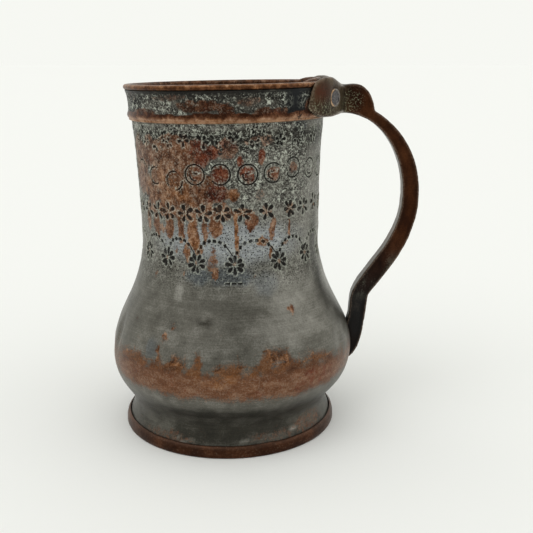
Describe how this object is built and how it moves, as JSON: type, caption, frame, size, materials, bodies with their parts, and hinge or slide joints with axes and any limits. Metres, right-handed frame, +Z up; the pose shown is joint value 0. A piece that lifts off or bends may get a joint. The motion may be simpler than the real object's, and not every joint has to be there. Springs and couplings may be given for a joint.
{
  "type": "mug",
  "caption": "Bellied beaten-copper drinking mug, tinned, with a collared mouth, a tabbed brazed girth seam and a forged strap handle riveted at the collar and the belly.",
  "frame": {"origin": "centre of the flat underside of the base", "axes": "+Z up along the axis of the body, +X towards the handle, +Y to the left when looking along +X"},
  "size_m": [0.1727, 0.1354, 0.1937],
  "materials": {
    "tinned_copper": "worn tin over beaten copper",
    "worn_copper": "bare copper, patinated",
    "dark_collar": "blackened tin with pale speckle",
    "braze": "dull brass",
    "base_copper": "dark brown patina",
    "tin_solder": "dull grey solder",
    "handle_copper": "dark handled patina",
    "rivet_copper": "hammered, patinated"
  },
  "bodies": {
    "root": {"upper_body": "tinned_copper", "collar_band": "dark_collar", "seam_braze": "braze", "lower_body": "worn_copper", "base_plate": "base_copper", "base_solder": "tin_solder", "handle": "handle_copper", "rim_backing_plate": "tinned_copper", "upper_rivets": "rivet_copper", "lower_rivets": "rivet_copper", "lower_roves": "rivet_copper"}
  },
  "joints": []
}
